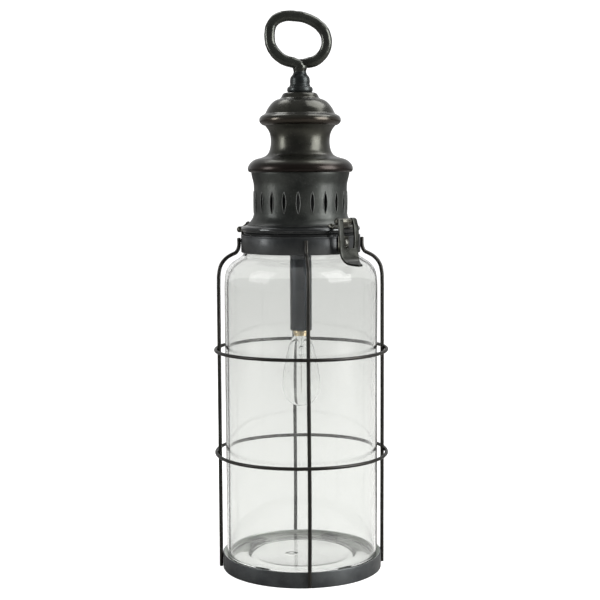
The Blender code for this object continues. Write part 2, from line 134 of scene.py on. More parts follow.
def in_world(piece):
    """Move a piece's own axes to the lantern's, with its shape left where it stands."""
    piece.data.transform(piece.matrix_world)
    piece.matrix_world = Matrix.Identity(4)
    return piece


def round_point(azimuth, reach, height):
    angle = math.radians(azimuth)
    return (reach * math.sin(angle), -reach * math.cos(angle), height)


# -------- outlines

def curve(points, fine=6):
    """A smooth line through a few points (centripetal Catmull-Rom), with fine steps between two."""
    ends = [_mirror(points[1], points[0]), *points, _mirror(points[-2], points[-1])]
    out = []
    for a, b, c, d in zip(ends, ends[1:], ends[2:], ends[3:]):
        knots = [0.0]
        for p, q in ((a, b), (b, c), (c, d)):
            knots.append(knots[-1] + max(math.dist(p, q), 1e-6) ** 0.5)
        for i in range(fine):
            t = knots[1] + (knots[2] - knots[1]) * i / fine
            out.append(_blend(a, b, c, d, knots, t))
    out.append(tuple(points[-1]))
    return out


def _mirror(point, about):
    return tuple(2 * m - p for p, m in zip(point, about))


def _mix(p, q, start, stop, t):
    share = (t - start) / (stop - start)
    return tuple(x + (y - x) * share for x, y in zip(p, q))


def _blend(a, b, c, d, k, t):
    ab, bc, cd = _mix(a, b, k[0], k[1], t), _mix(b, c, k[1], k[2], t), _mix(c, d, k[2], k[3], t)
    return _mix(_mix(ab, bc, k[0], k[2], t), _mix(bc, cd, k[1], k[3], t), k[1], k[2], t)


def arc(centre, radius, start, end, count):
    angles = [math.radians(start + (end - start) * i / count) for i in range(count + 1)]
    return [(centre[0] + radius * math.cos(a), centre[1] + radius * math.sin(a)) for a in angles]


def shell_of(outer, thickness):
    """Close an outline that runs down an outer face into a sheet of even thickness."""
    inner = []
    for i, point in enumerate(outer):
        before, after = outer[max(i - 1, 0)], outer[min(i + 1, len(outer) - 1)]
        along = Vector((after[0] - before[0], after[1] - before[1])).normalized()
        inner.append((max(point[0] + along.y * thickness, 0), point[1] - along.x * thickness))
    return list(outer) + inner[::-1]


# -------- mesh building

def turned(name, outline, steps=SMALL_TURN, swell=None):
    """Spin an outline of (reach, height) down its outer side; swell adds hand work in mm."""
    bm = bmesh.new()
    rings = []
    for reach, height in outline:
        ring = []
        for i in range(steps if reach > AXIS else 1):
            azimuth = 360 * i / steps
            added = swell(azimuth, reach, height) if swell and reach > AXIS else 0
            ring.append(bm.verts.new(Vector(round_point(azimuth, reach + added, height)) * MM))
        rings.append(ring)
    pairs = list(zip(rings, rings[1:]))
    if len(rings[0]) > 1:
        pairs.append((rings[-1], rings[0]))
    for top, bottom in pairs:
        for i in range(steps):
            j = (i + 1) % steps
            corners = [top[i % len(top)], bottom[i % len(bottom)], bottom[j % len(bottom)],
                       top[j % len(top)]]
            corners = list(dict.fromkeys(corners))
            if len(corners) > 2:
                bm.faces.new(corners)
    bmesh.ops.recalc_face_normals(bm, faces=bm.faces)
    return smooth(object_from(name, bm))


def by_hand(amount, grain=0.03, seed=0):
    """A slow unevenness round a spun or blown piece, up to an amount in mm."""
    def swell(azimuth, reach, height):
        spot = Vector(round_point(azimuth, reach, height)) * grain
        return amount * noise.noise(spot + Vector((seed, 3.1 * seed, 0)))
    return swell


def smooth(obj, angle=38):
    obj.data.shade_smooth()
    obj.data.set_sharp_from_angle(angle=math.radians(angle))
    return obj


def soften(obj, width, segments=2, angle=30):
    """Round the edges of a cut or bent piece."""
    edge = obj.modifiers.new("Edges", "BEVEL")
    edge.width = width * MM
    edge.segments = segments
    edge.limit_method = "ANGLE"
    edge.angle_limit = math.radians(angle)
    edge.harden_normals = False
    edge.use_clamp_overlap = True
    return obj


def rounded(obj, width, segments=2):
    """A cut piece with its edges rounded for good."""
    return smooth(bake(soften(obj, width, segments)))


def bake(obj):
    """Apply the modifiers, so that later steps work on the finished mesh."""
    bpy.context.view_layer.update()
    evaluated = obj.evaluated_get(bpy.context.evaluated_depsgraph_get())
    mesh = bpy.data.meshes.new_from_object(evaluated)
    obj.modifiers.clear()
    obj.data = mesh
    return obj


def solidify(obj, thickness, offset=0):
    shell = obj.modifiers.new("Thickness", "SOLIDIFY")
    shell.thickness = thickness * MM
    shell.offset = offset
    shell.use_even_offset = True
    return obj


def cut(target, cutter):
    """Cut one piece out of another, and drop the cutter."""
    step = target.modifiers.new(cutter.name, "BOOLEAN")
    step.object = cutter
    bake(target)
    bpy.data.objects.remove(cutter)
    return target


def join(target, other):
    """Put two closed pieces into one mesh, each with its own walls."""
    bm = bmesh.new()
    bm.from_mesh(target.data)
    bm.from_mesh(other.data)
    bm.to_mesh(target.data)
    bm.free()
    bpy.data.objects.remove(other)
    return target


def rod(name, length, radius, sides=32):
    bm = bmesh.new()
    bmesh.ops.create_cone(bm, cap_ends=True, segments=sides, radius1=radius * MM,
                          radius2=radius * MM, depth=length * MM)
    return smooth(object_from(name, bm))


def block(name, size, place=(0, 0, 0)):
    """A box with its sides in mm, and its middle at a place in metres."""
    bm = bmesh.new()
    bmesh.ops.create_cube(bm, size=1)
    bmesh.ops.scale(bm, vec=[side * MM for side in size], verts=bm.verts)
    piece = object_from(name, bm)
    piece.location = place
    return piece


def sweep(name, path, section, closed=False, up=Vector((0, 1, 0))):
    """Carry a section along a path of points in mm; section(share) gives (across, up) pairs."""
    bm = bmesh.new()
    count = len(path)
    rings = []
    for i, point in enumerate(path):
        if closed:
            along = Vector(path[(i + 1) % count]) - Vector(path[i - 1])
        else:
            along = Vector(path[min(i + 1, count - 1)]) - Vector(path[max(i - 1, 0)])
        along.normalize()
        side = along.cross(up).normalized()
        over = side.cross(along).normalized()
        rings.append([bm.verts.new((Vector(point) + side * a + over * b) * MM)
                      for a, b in section(i / max(count - 1, 1))])
    size = len(rings[0])
    for i in range(count if closed else count - 1):
        here, there = rings[i], rings[(i + 1) % count]
        for k in range(size):
            m = (k + 1) % size
            bm.faces.new((here[k], here[m], there[m], there[k]))
    if not closed:
        bm.faces.new(rings[0][::-1])
        bm.faces.new(rings[-1])
    bmesh.ops.recalc_face_normals(bm, faces=bm.faces)
    return smooth(object_from(name, bm), 50)


def circle(radius, sides=16, across=1.0, over=1.0):
    return [(radius * across * math.cos(2 * math.pi * k / sides),
             radius * over * math.sin(2 * math.pi * k / sides)) for k in range(sides)]


def strap(name, path, columns, filled, thickness, taper=None, edge=0.28):
    """Bent sheet: a path of (reach, height), cut across at columns, with some gaps filled."""
    widths = taper or [1] * len(path)
    bm = bmesh.new()
    grid = {}

    def corner(row, column):
        if (row, column) not in grid:
            reach, height = path[row]
            across = columns[column] * widths[row]
            grid[row, column] = bm.verts.new((across * MM, -reach * MM, height * MM))
        return grid[row, column]

    for row, gaps in enumerate(filled):
        for gap in gaps:
            bm.faces.new((corner(row, gap), corner(row, gap + 1),
                          corner(row + 1, gap + 1), corner(row + 1, gap)))
    bmesh.ops.recalc_face_normals(bm, faces=bm.faces)
    obj = object_from(name, bm)
    solidify(obj, thickness)
    soften(obj, edge, 3 if edge > 0.3 else 2, 40)
    bake(obj)
    return smooth(obj, 45)


def dent(obj, depth, grain, seed=0):
    """Hammer marks: move each corner along its normal by smooth noise."""
    for corner in obj.data.vertices:
        push = noise.noise(corner.co / MM * grain + Vector((seed, seed * 2.3, seed * 0.7)))
        corner.co += corner.normal * push * depth * MM
    return obj


# -------- materials

class Nodes:
    """A new material or world, with short ways to add shader nodes and link them."""

    def __init__(self, name, kind="materials", shader="Principled BSDF"):
        self.owner = getattr(bpy.data, kind).new(name)
        self.owner.use_nodes = True
        self.tree = self.owner.node_tree
        self.shader = self.tree.nodes[shader]

    def add(self, kind, **values):
        node = self.tree.nodes.new(kind)
        for key, value in values.items():
            if hasattr(node, key):
                setattr(node, key, value)
            else:
                node.inputs[key.replace("_", " ")].default_value = value
        return node

    def link(self, out, into):
        self.tree.links.new(out, into)

    def place(self):
        """Object coordinates in metres, the same at any angle of view."""
        return self.add("ShaderNodeTexCoord").outputs["Object"]

    def noise(self, scale, detail=3.0, rough=0.55, stretch=None):
        texture = self.add("ShaderNodeTexNoise", Scale=scale, Detail=detail, Roughness=rough)
        where = self.place()
        if stretch:
            mapping = self.add("ShaderNodeMapping")
            mapping.inputs["Scale"].default_value = stretch
            self.link(where, mapping.inputs["Vector"])
            where = mapping.outputs["Vector"]
        self.link(where, texture.inputs["Vector"])
        return texture.outputs["Fac"]

    def ramp(self, value, stops):
        """Map a value to colours; stops are (position, colour) pairs."""
        node = self.add("ShaderNodeValToRGB")
        band = node.color_ramp
        while len(band.elements) < len(stops):
            band.elements.new(0.5)
        for element, (position, colour) in zip(band.elements, stops):
            element.position = position
            element.color = (*colour, 1)
        self.link(value, node.inputs["Fac"])
        return node.outputs["Color"]

    def span(self, value, low, high, start=0.3, stop=0.7):
        node = self.add("ShaderNodeMapRange")
        ends = {"From Min": start, "From Max": stop, "To Min": low, "To Max": high}
        for key, number in ends.items():
            node.inputs[key].default_value = number
        self.link(value, node.inputs["Value"])
        return node.outputs["Result"]

    def mix(self, share, first, second, kind="MIX"):
        node = self.add("ShaderNodeMix", data_type="RGBA", blend_type=kind)
        for source, key in ((share, 0), (first, 6), (second, 7)):
            if isinstance(source, bpy.types.NodeSocket):
                self.link(source, node.inputs[key])
            else:
                node.inputs[key].default_value = source if key == 0 else (*source, 1)
        return node.outputs[2]

    def bump(self, height, strength, distance, under=None):
        node = self.add("ShaderNodeBump", Strength=strength, Distance=distance)
        self.link(height, node.inputs["Height"])
        if under is not None:
            self.link(under, node.inputs["Normal"])
        return node.outputs["Normal"]

    def set(self, **values):
        for key, value in values.items():
            socket = self.shader.inputs[key.replace("_", " ")]
            if isinstance(value, bpy.types.NodeSocket):
                self.link(value, socket)
            else:
                socket.default_value = (*value, 1) if isinstance(value, tuple) else value
        return self.owner


def edge_wear(n, amount=0.5):
    """Bright on convex edges, where the patina is rubbed away."""
    sharp = n.add("ShaderNodeNewGeometry").outputs["Pointiness"]
    return n.span(sharp, 0.0, amount, 0.515, 0.60)


def below(n, height, soft=1.5):
    """1 under a height in mm on the piece, and 0 above it."""
    axis = n.add("ShaderNodeSeparateXYZ")
    n.link(n.place(), axis.inputs["Vector"])
    return n.span(axis.outputs["Z"], 1.0, 0.0, (height - soft) * MM, (height + soft) * MM)


def within(n, reach, soft=0.15):
    """1 nearer the axis than a reach in mm, and 0 further out."""
    flat = n.add("ShaderNodeVectorMath", operation="MULTIPLY")
    flat.inputs[1].default_value = (1, 1, 0)
    n.link(n.place(), flat.inputs[0])
    far = n.add("ShaderNodeVectorMath", operation="LENGTH")
    n.link(flat.outputs["Vector"], far.inputs[0])
    return n.span(far.outputs["Value"], 1.0, 0.0, (reach - soft) * MM, (reach + soft) * MM)


def patina(name, deep, pale, worn, rough=(0.30, 0.50), hammered=0.0, relief=1.0, tone_and_painted_light=None):
    """Dark oiled metal: cloudy patches, fine speckle, rubbed edges and a satin skin.

    The last argument is a (mask maker, size in mm, colour) for a part of the piece that gets
    another colour: a brown tone on the dome's bead, painted shade under the waist's roll, and
    painted light on the base band's inner face.
    """
    n = Nodes(name)
    clouds = n.noise(38, 4, 0.6)
    speckle = n.noise(620, 3, 0.6)
    base = n.ramp(clouds, [(0.36, deep), (0.66, pale)])
    base = n.mix(n.span(speckle, 0.0, 0.22, 0.60, 0.78), base, worn)
    base = n.mix(edge_wear(n, 0.55), base, worn)
    if tone_and_painted_light:
        mask, size, colour = tone_and_painted_light
        base = n.mix(mask(n, size), base, colour)
    film = n.noise(90, 5, 0.65)
    roughness = n.span(film, rough[0], rough[1], 0.32, 0.68)
    grain = n.bump(speckle, 0.05 * relief, 0.0002)
    normal = n.bump(n.noise(110, 2, 0.45), 0.12 * relief, 0.0005, grain)
    if hammered:
        normal = n.bump(n.noise(70, 1, 0.4), hammered, 0.0012, normal)
    return n.set(Base_Color=base, Roughness=roughness, Metallic=0.85, Normal=normal,
                 Coat_Weight=0.12, Coat_Roughness=0.22)


def clear_glass(name, tint, wave, rough, grain, clear=1.0):
    """Blown glass: clear, faintly tinted, with slow waves and a trace of dust."""
    n = Nodes(name)
    dust = n.noise(grain, 4, 0.7)
    roughness = n.span(dust, 0.0, rough, 0.5, 0.8)
    normal = n.bump(n.noise(16, 1, 0.4, (1, 1, 0.45)), wave, 0.004)
    return n.set(Base_Color=tint, Roughness=roughness, IOR=1.46, Transmission_Weight=clear,
                 Normal=normal)


def plated(name, tint, shade, rough=(0.22, 0.42)):
    """Plated metal with fine turning lines and dull spots."""
    n = Nodes(name)
    spots = n.noise(300, 4, 0.6)
    lines = n.noise(900, 2, 0.5, (0.2, 0.2, 3.0))
    base = n.mix(n.span(spots, 0.0, 1.0, 0.45, 0.7), tint, shade)
    return n.set(Base_Color=base, Roughness=n.span(lines, rough[0], rough[1]), Metallic=1.0,
                 Normal=n.bump(lines, 0.1, 0.0002))


def moulded(name, tint, shade, rough=(0.42, 0.6)):
    """Moulded plastic with a fine spark-eroded texture."""
    n = Nodes(name)
    texture = n.noise(1400, 2, 0.5)
    cloud = n.noise(60, 3, 0.5)
    base = n.mix(n.span(cloud, 0.0, 1.0), tint, shade)
    return n.set(Base_Color=base, Roughness=n.span(texture, rough[0], rough[1]),
                 Specular_IOR_Level=0.45, Normal=n.bump(texture, 0.12, 0.0001))


def cell_sleeve(name):
    """Shrink sleeve of a plain battery cell: a dark body with a copper-coloured end."""
    n = Nodes(name)
    axis = n.add("ShaderNodeSeparateXYZ")
    n.link(n.place(), axis.inputs["Vector"])
    end = n.span(axis.outputs["X"], 0.0, 1.0, 0.0112, 0.0116)
    scuff = n.noise(420, 4, 0.65)
    dark = n.mix(n.span(scuff, 0.0, 0.6, 0.55, 0.75), (0.012, 0.016, 0.018), (0.05, 0.06, 0.06))
    copper = n.mix(n.span(scuff, 0.0, 0.6, 0.5, 0.75), (0.42, 0.19, 0.08), (0.25, 0.11, 0.05))
    return n.set(Base_Color=n.mix(end, dark, copper), Roughness=n.span(scuff, 0.22, 0.4),
                 Coat_Weight=0.4, Coat_Roughness=0.1)


def make_looks():
    """Every material, by its short name; a patina runs from deep to pale to worn."""
    bronze = (0.017, 0.017, 0.014), (0.042, 0.042, 0.034)
    rubbed_bronze = (0.15, 0.145, 0.12)
    rubbed_steel = (0.17, 0.175, 0.17)
    return {
        "bronze": patina("bronze_patina", *bronze, rubbed_bronze, (0.20, 0.34)),
        # painted shade: below 374 mm the roll's lower, downward side is painted a darker brown,
        # partly a brown tone and partly painted shade
        "waist": patina("waist_bronze_painted_shade", *bronze, rubbed_bronze, (0.25, 0.38),
                        tone_and_painted_light=(below, 374, (0.0095, 0.0065, 0.005))),
        "dome": patina("dome_bronze", (0.016, 0.016, 0.013), (0.040, 0.040, 0.033), rubbed_bronze,
                       (0.17, 0.29), tone_and_painted_light=(below, 414.5, (0.032, 0.027, 0.021))),
        # painted light: the band's inner face, nearer the axis than 72.7 mm, is painted pale (0.50)
        # to stand in for light in the dark hollow behind the glass
        "band": patina("band_steel_painted_light", (0.032, 0.035, 0.038), (0.070, 0.075, 0.077), rubbed_steel,
                       (0.34, 0.54), tone_and_painted_light=(within, 72.7, (0.50, 0.53, 0.50))),
        "rim": patina("rim_steel", (0.019, 0.021, 0.021), (0.046, 0.048, 0.048),
                      (0.15, 0.155, 0.15), (0.14, 0.26)),
        "forged": patina("forged_bronze", (0.025, 0.027, 0.023), (0.050, 0.053, 0.046),
                         (0.055, 0.057, 0.050), (0.20, 0.32), relief=0.3),
        "wire": patina("wire_patina", (0.008, 0.0075, 0.007), (0.020, 0.019, 0.0165),
                       (0.042, 0.040, 0.035), (0.34, 0.55), hammered=0.35),
        "steel": patina("oiled_steel", (0.016, 0.018, 0.019), (0.038, 0.040, 0.041), rubbed_steel,
                        (0.34, 0.54)),
        "tube": patina("blued_steel", (0.002, 0.0035, 0.006), (0.006, 0.009, 0.012),
                       (0.07, 0.078, 0.084), (0.28, 0.42)),
        "jar": clear_glass("jar_glass", (0.755, 0.762, 0.747), 0.10, 0.05, 130, 0.99),
        "bulb": clear_glass("bulb_glass", (0.985, 0.988, 0.985), 0.04, 0.03, 260),
        "filament": plated("filament_wire", (0.50, 0.42, 0.34), (0.36, 0.28, 0.22)),
        "drum": patina("drum_steel", (0.016, 0.018, 0.0165), (0.039, 0.042, 0.038), rubbed_steel,
                       (0.36, 0.56)),
        "hasp": patina("hasp_bronze", (0.0055, 0.006, 0.0048), (0.0135, 0.0145, 0.0115),
                       (0.06, 0.062, 0.053), (0.26, 0.42), hammered=0.4),
        "ferrule": patina("ferrule_bronze", (0.014, 0.017, 0.017), (0.040, 0.044, 0.043),
                          (0.15, 0.16, 0.155), (0.26, 0.44)),
        "worn": patina("worn_bronze", (0.05, 0.05, 0.044), (0.12, 0.12, 0.105),
                       (0.24, 0.24, 0.21), (0.26, 0.42)),
        "socket": patina("socket_bronze", (0.03, 0.026, 0.018), (0.07, 0.06, 0.04),
                         (0.16, 0.14, 0.10), (0.34, 0.5)),
        "brass": plated("cap_brass", (0.46, 0.39, 0.26), (0.30, 0.24, 0.15)),
        "zinc": plated("zinc_plate", (0.62, 0.63, 0.64), (0.42, 0.43, 0.42)),
        "black": moulded("black_plastic", (0.012, 0.012, 0.013), (0.022, 0.022, 0.022)),
        "red": moulded("red_plastic", (0.42, 0.02, 0.015), (0.33, 0.015, 0.01), (0.34, 0.5)),
        "cell": cell_sleeve("cell_sleeve"),
    }


def paint(obj, look):
    obj.data.materials.clear()
    obj.data.materials.append(LOOKS[look])
    return obj


def lathe(node, look, outline, steps=SMALL_TURN, swell=None):
    """A turned piece on the lantern's axis that stands for one CAD node."""
    return show(turned(f"{node}_fine", outline, steps, swell), look, node)


# -------- base and cage

def make_base():
    reach, low, high = extent("base_band")
    wall = 1.5
    lip = 0.45
    outline = [*arc((reach - lip, high - lip), lip, 90, 0, 4),
               *arc((reach - lip, low + lip), lip, 0, -80, 4),
               *arc((reach - wall + lip, low + lip), lip, -100, -180, 4),
               *arc((reach - wall + lip, high - lip), lip, 180, 90, 4)]
    lathe("base_band", "band", outline, BIG_TURN, by_hand(0.22))
    leg = reach - wall - 1.5
    under = high - 6.4
    path = [(leg, 2.4), (leg, 5), (leg, under - 2), *arc((leg - 1.6, under - 1.6), 1.6, 0, 90, 5),
            (66, under), (63.5, under), (61.6, under), (60.4, under)]
    taper = [1] * 9 + [1, 0.98, 0.84, 0.55]
    for number, azimuth in enumerate(TAB_AZIMUTHS, 1):
        tab = strap(f"support_tab_{number}", path, [-7.5, -2.5, 2.5, 7.5],
                    [(0, 1, 2)] * (len(path) - 1), LEAF, taper)
        stand(tab, azimuth)
        show(tab, "steel", f"jar_support_tab_{number}")


def weld(name, azimuth, reach, height, size):
    """A small uneven brazing bead that goes with the cage."""
    bm = bmesh.new()
    bmesh.ops.create_icosphere(bm, subdivisions=3, radius=MM)
    bmesh.ops.scale(bm, vec=size, verts=bm.verts)
    bead = dent(object_from(name, bm), 0.35, 0.9, azimuth + height)
    stand(smooth(bead, 80), azimuth, reach, height)
    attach(paint(bead, "wire"), "cage")


def waved(middle, angle):
    """The height of a cage ring that was bent by hand, at an angle round the axis."""
    return middle + 0.22 * math.sin(3 * angle + middle)


def make_cage():
    base_reach = extent("base_band")[0]
    collar_reach = extent("top_collar")[0]
    ring_reach = extent("cage_ring_lower")[0] - RING_WIRE
    upright = ring_reach - 3.35
    top, tip = collar_reach + 1.85, 306.7
    path = [(upright, 1.0), (upright, 4), (upright, 60), (upright, 130), (upright, 200),
            (upright, 250), (upright - 0.05, 266), (75.0, 274), (73.6, 280.6), (71.0, 285.2),
            (67.2, 289), (62.8, 291.6), (59.3, 293.4), (57.3, 296.4), (top, 300.5), (top, 304),
            (top, tip)]

    def section(share):
        end = min(share, 1 - share)
        round_off = min(1.0, 0.55 + end * 60)
        return circle(WIRE_RADIUS * round_off, 14)

    for number, (side, azimuth) in enumerate(SIDES):
        points = [(0.35 * math.sin(height / 47 + 1.7 * number)
                   * min(1, (tip - height) / 60, height / 30 + 0.1), -reach, height)
                  for reach, height in curve(path, 6)]
        upright_wire = sweep(f"upright_{side}", points, section, up=Vector((1, 0, 0)))
        dent(upright_wire, 0.07, 0.16, number)
        stand(upright_wire, azimuth)
        show(upright_wire, "wire", f"cage_wire_{side}")
        weld(f"weld_{side}_foot", azimuth, base_reach + 0.6, 11.5, (1.5, 0.7, 2.2))
        weld(f"weld_{side}_head", azimuth, collar_reach + 0.5, 304.2, (1.5, 0.6, 2.0))
    for level in ("lower", "upper"):
        middle = sum(extent(f"cage_ring_{level}")[1:]) / 2
        count = 240
        angles = [2 * math.pi * i / count for i in range(count)]
        points = [((ring_reach - 0.08) * math.sin(a), -(ring_reach - 0.08) * math.cos(a),
                   waved(middle, a)) for a in angles]
        ring = sweep(f"ring_{level}", points, lambda share: circle(RING_WIRE - 0.02, 14),
                     closed=True, up=Vector((0, 0, 1)))
        dent(ring, 0.06, 0.16, middle)
        show(ring, "wire", f"cage_ring_{level}")
        for side, azimuth in SIDES:
            for place, lift in (("over", 1.1), ("under", -1.1)):
                weld(f"weld_{side}_{level}_{place}", azimuth, ring_reach - 1.75,
                     waved(middle, math.radians(azimuth)) + lift, (1.2, 0.75, 1.0))


def make_collar():
    reach, low, high = extent("top_collar")
    wall = 1.2
    lip = 0.6
    outline = [*arc((reach - lip, high - lip), lip, 120, -20, 7), (reach - 0.25, high - 1.7),
               (reach - 0.12, high - 2.4), (reach - 0.12, low + 0.6), (reach - 0.35, low + 0.15),
               (reach - 0.7, low), (reach - wall, low + 0.3), (reach - wall, high - 1.6)]
    return turned("collar_fine", outline, BIG_TURN, by_hand(0.14))


# -------- jar

def make_jar():
    reach, low, high = extent("glass_jar")
    wall, neck, spring = 3.0, 51.4, 250
    floor = low + 3.4
    shoulder = curve([(reach, spring), (reach, 258), (reach - 0.1, 264), (69.2, 272), (67.4, 278.2),
                      (63.4, 283.3), (57.5, 287.3), (53.1, 290.6), (51.6, 294.2), (neck, 299)], 5)
    inside = [(r - wall * (0.95 - 0.2 * (h - spring) / 49),
               h - wall * 0.75 * min(1, (h - spring) / 30)) for r, h in shoulder]
    lip = 1.3
    mouth = [(neck, high - lip), *arc((neck - lip, high - lip), lip, 0, 180, 8)]
    heel = arc((reach - 3, low + 3), 3, 0, -80, 8)
    kick = curve([(65.4, low + 0.02), (58.5, low), (52.5, low + 0.2), (49.4, low + 0.5),
                  (46.8, low + 1.35), *[(r, low + 1.4) for r in (40, 26, 20, 14, 8, 0)]], 7)
    basin = curve([(0, floor + 0.5), (14, floor + 0.45), (34, floor + 0.3), (46.5, floor + 0.05),
                   (56, floor), (63, floor + 0.15), (65.6, floor + 0.8), (66.7, floor + 2.2),
                   (reach - wall, floor + 4.4), (reach - wall, floor + 11)], 4)
    walls = [(reach - wall, height) for height in range(60, spring, 24)]
    outer_walls = [(reach, height) for height in range(228, 24, -24)]
    outline = [*basin, *walls, *inside, *reversed(mouth), *reversed(shoulder[:-1]), *outer_walls,
               *heel, *kick]
    jar = turned("jar_fine", outline, BIG_TURN, by_hand(0.28, 0.022, 4))
    # The pontil's mark: a low ring pressed up into the bottom, off the middle
    pontil = Vector((-10, -2, 0))
    for corner in jar.data.vertices:
        place = corner.co / MM
        if place.z < low + 2:
            off = (Vector((place.x, place.y, 0)) - pontil).length
            corner.co.z += 0.5 * MM * math.exp(-((off - 3.4) / 1.4) ** 2)
    return show(smooth(jar, 75), "jar", "glass_jar")


# -------- lamp

def hexagon(node, look, across, hole):
    """A chamfered hexagon nut with a round hole, standing for a CAD nut."""
    low, high = extent(node)[1:]
    corner = across / math.sqrt(3)
    chamfer = 0.5

    def flats(azimuth, radius, height):
        if radius < hole + 1:
            return 0
        flat = across / 2 / math.cos(math.radians((azimuth + 30) % 60 - 30))
        return min(flat, radius) - radius

    outline = [(across / 2 - 0.1, high), (corner, high - chamfer), (corner, low + chamfer),
               (across / 2 - 0.1, low), (hole + 0.25, low), (hole, low + 0.3), (hole, high - 0.3),
               (hole + 0.25, high)]
    lathe(node, look, outline, 72, flats)


def make_lamp_plate():
    reach, low, high = extent("lamp_plate")
    outline = [(reach - 0.25, high), (reach, high - 0.25), (reach, low + 0.25), (reach - 0.25, low),
               (8.3, low), (8.3, high), (20, high), (35, high)]
    plate = turned("lamp_plate_fine", outline, BIG_TURN)
    for number, azimuth in enumerate((75, 195, 315), 1):
        top = low - GAP
        lug = in_world(stand(block(f"lug_{number}", (9, 10, 1)), azimuth, 47.8, top - 0.5))
        bore([plate, lug], 1.5, 8, azimuth=azimuth, reach=46, height=low)
        show(rounded(lug, 0.25), "steel", f"plate_lug_{number}")
        screw(f"plate_screw_{number}", azimuth, 46, high)
    show(smooth(plate), "steel", "lamp_plate")
    hexagon("tube_nut", "zinc", 22.5, 8.3)


def screw(node, azimuth, reach, height):
    """A small pan-head machine screw with a straight slot."""
    outline = [(0, 1.9), (1.0, 1.85), (1.9, 1.55), (2.4, 1.0), (2.5, 0.55), (2.4, GAP), (1.2, GAP),
               (1.2, -2.5), (0.9, -2.8), (0, -2.8)]
    head = turned(f"{node}_fine", outline, 48)
    cut(head, stand(block("slot", (6, 0.6, 1.6)), 0, 0, 2.1))
    stand(smooth(head), azimuth, reach, height)
    show(head, "zinc", node)


def make_lamp():
    """The tube, the socket, the bulb and two leads; gives back the bulb's glass."""
    low = extent("lamp_tube")[1]
    ledge = extent("lamp_plate")[1] - GAP
    thread = [(8 - 0.25 * (i % 2), 311.6 - 0.35 * i) for i in range(8)]
    lathe("lamp_tube", "tube",
          [(7.2, 312.4), (7.8, 312.3), (8, 312), *thread, (8, ledge + 0.2), (8.2, ledge),
           (9.6, ledge), (10, ledge - 0.4), (10, 290), (10, 265), (10, 240), (10, low + 1.25),
           (9.8, low + 0.9), (9.35, low + 0.9), (9.2, low + 1.2), (9.2, 300), (7, 305), (7, 312.2)],
          MIDDLE_TURN, by_hand(0.06, 0.05, 2))
    lathe("lamp_socket", "socket",
          [(0, 242), (6, 242), (6.9, 241.6), (8.6, 240.2), (8.9, 239.6), (8.9, low + 0.8),
           (9.6, low + 0.8), (9.8, low + 0.5), (9.8, low + 0.3), (9.5, low), (8.0, low),
           (7.7, low + 0.3), (7.7, 236), (5.6, 238.6), (0, 238.6)], MIDDLE_TURN)
    bulb = make_bulb()
    route = [(5.2, 312.6), (5.0, 310.6), (4.4, 306.6), (3.6, 301), (3.2, 295), (3.2, 280),
             (3.2, 262), (3.2, 250), (3.2, 242.4)]
    for name, side, look in (("positive", 1, "red"), ("negative", -1, "black")):
        points = [(side * x + 0.12 * math.sin(z / 7), 0.2 * math.sin(z / 11 + side), z)
                  for x, z in curve(route, 5)]
        lead = sweep(f"lead_{name}", points, lambda share: circle(0.68, 12))
        show(lead, look, f"lead_wire_{name}")
    return bulb


def make_bulb():
    """The screw cap, the glass, its stem and two filament loops; gives back the glass."""
    pitch, crest = 2.82, 0.32
    thread_low, thread_high, run_out = 217.6, 231.6, 1.2

    def thread(azimuth, reach, height):
        fade = min(1, max(0, (height - thread_low) / run_out),
                   max(0, (thread_high - height) / run_out))
        winding = 2 * math.pi * (height / pitch - azimuth / 360)
        return crest * (0.5 + 0.5 * math.cos(winding)) * fade - crest if reach > 6 else 0

    rows = 41
    outside = [(7.2, 232 - 15.4 * i / rows) for i in range(rows + 1)]
    inside = [(r - 0.62, h) for r, h in reversed(outside[2:])]
    lathe("bulb_cap", "brass",
          [(0, 238), (1.6, 237.9), (2.4, 237.4), (2.6, 236.6), (3.0, 236.2), (5, 235), (6.5, 233.6),
           *outside, (6.95, 216.3), *inside, (4.6, 233.6), (0, 234.4)], MIDDLE_TURN, thread)
    glass = curve([(6.35, 219.5), (6.4, 217), (7.1, 215.3), (8.6, 213.4), (9.9, 210.6), (11.2, 207),
                   (13, 200.6), (15.2, 191), (17, 180.6), (17.6, 172.5), (17, 165.4), (14.6, 158.8),
                   (10, 153.8), (5, 151.6), (0, 151)], 6)
    bulb = lathe("bulb_glass", "bulb", shell_of(glass, 0.55), MIDDLE_TURN, by_hand(0.05, 0.08, 6))
    smooth(bulb, 80)
    stem = curve([(0, 219.4), (3.4, 219.2), (4.9, 218.2), (4.9, 216.4), (4.2, 213.6), (3.0, 211),
                  (2.3, 207), (2.0, 202), (2.3, 199.4), (1.6, 197.2), (0, 196.6)], 5)
    lathe("bulb_stem", "bulb", stem, 48, by_hand(0.1, 0.3, 9))
    for number, azimuth in enumerate((0, 90), 1):
        low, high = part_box(f"bulb_filament_{number}")
        margin = 0.3
        across = (high.x - low.x if number == 1 else high.y - low.y) / MM / 2 - margin
        top, bottom = high.z / MM - margin, low.z / MM + margin
        steps = 160
        points = []
        for i in range(steps + 1):
            share = i / steps
            angle = math.pi * (share * 2 - 1)
            points.append((across * math.sin(angle) * (0.55 + 0.45 * math.sin(abs(angle) / 2)), 0,
                           bottom + (top - bottom) * (0.5 - 0.5 * math.cos(angle))))
        loop = sweep(f"filament_{number}", points, lambda share: circle(0.17, 8))
        stand(loop, azimuth)
        show(loop, "filament", f"bulb_filament_{number}")
    return bulb


# -------- battery holder and switch

